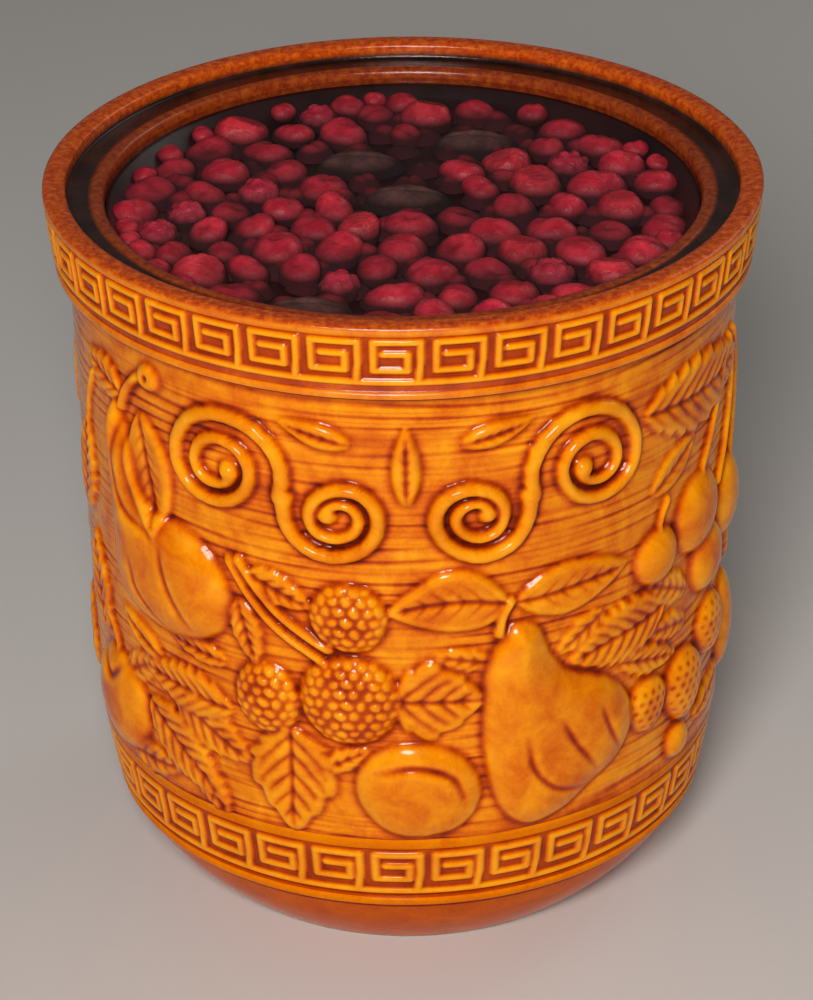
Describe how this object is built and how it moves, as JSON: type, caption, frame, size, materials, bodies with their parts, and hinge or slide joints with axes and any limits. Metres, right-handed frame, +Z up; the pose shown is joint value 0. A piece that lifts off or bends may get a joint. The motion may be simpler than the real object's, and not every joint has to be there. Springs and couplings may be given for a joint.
{
  "type": "rumtopf pot",
  "caption": "Round glazed stoneware crock with a recessed lid ledge, key-pattern bands and fruit relief, filled with fruit in rum.",
  "frame": {"origin": "centre of the foot ring on the table", "axes": "+Z up along the pot's axis, front of the relief towards -Y"},
  "size_m": [0.235, 0.235, 0.25],
  "materials": {
    "glaze": "glossy",
    "glaze_relief": "glossy",
    "rum": "glossy",
    "cherry": "wet",
    "strawberry": "wet",
    "raspberry": "wet",
    "plum": "wet"
  },
  "bodies": {
    "root": {"crock": "glaze", "rim_key_band": "glaze_relief", "base_key_band": "glaze_relief", "scroll_ornament": "glaze_relief", "long_pear_sprig": "glaze_relief", "pear_sprig": "glaze_relief", "bramble_sprig": "glaze_relief", "plum_sprig": "glaze_relief", "apple_sprig": "glaze_relief", "cherry_sprig": "glaze_relief", "strawberry_sprig": "glaze_relief", "cucumber_sprig": "glaze_relief", "vine_leaf_sprig": "glaze_relief", "rum": "rum", "sour_cherries": "cherry", "strawberry_pieces": "strawberry", "raspberries": "raspberry", "plums": "plum"}
  },
  "joints": []
}
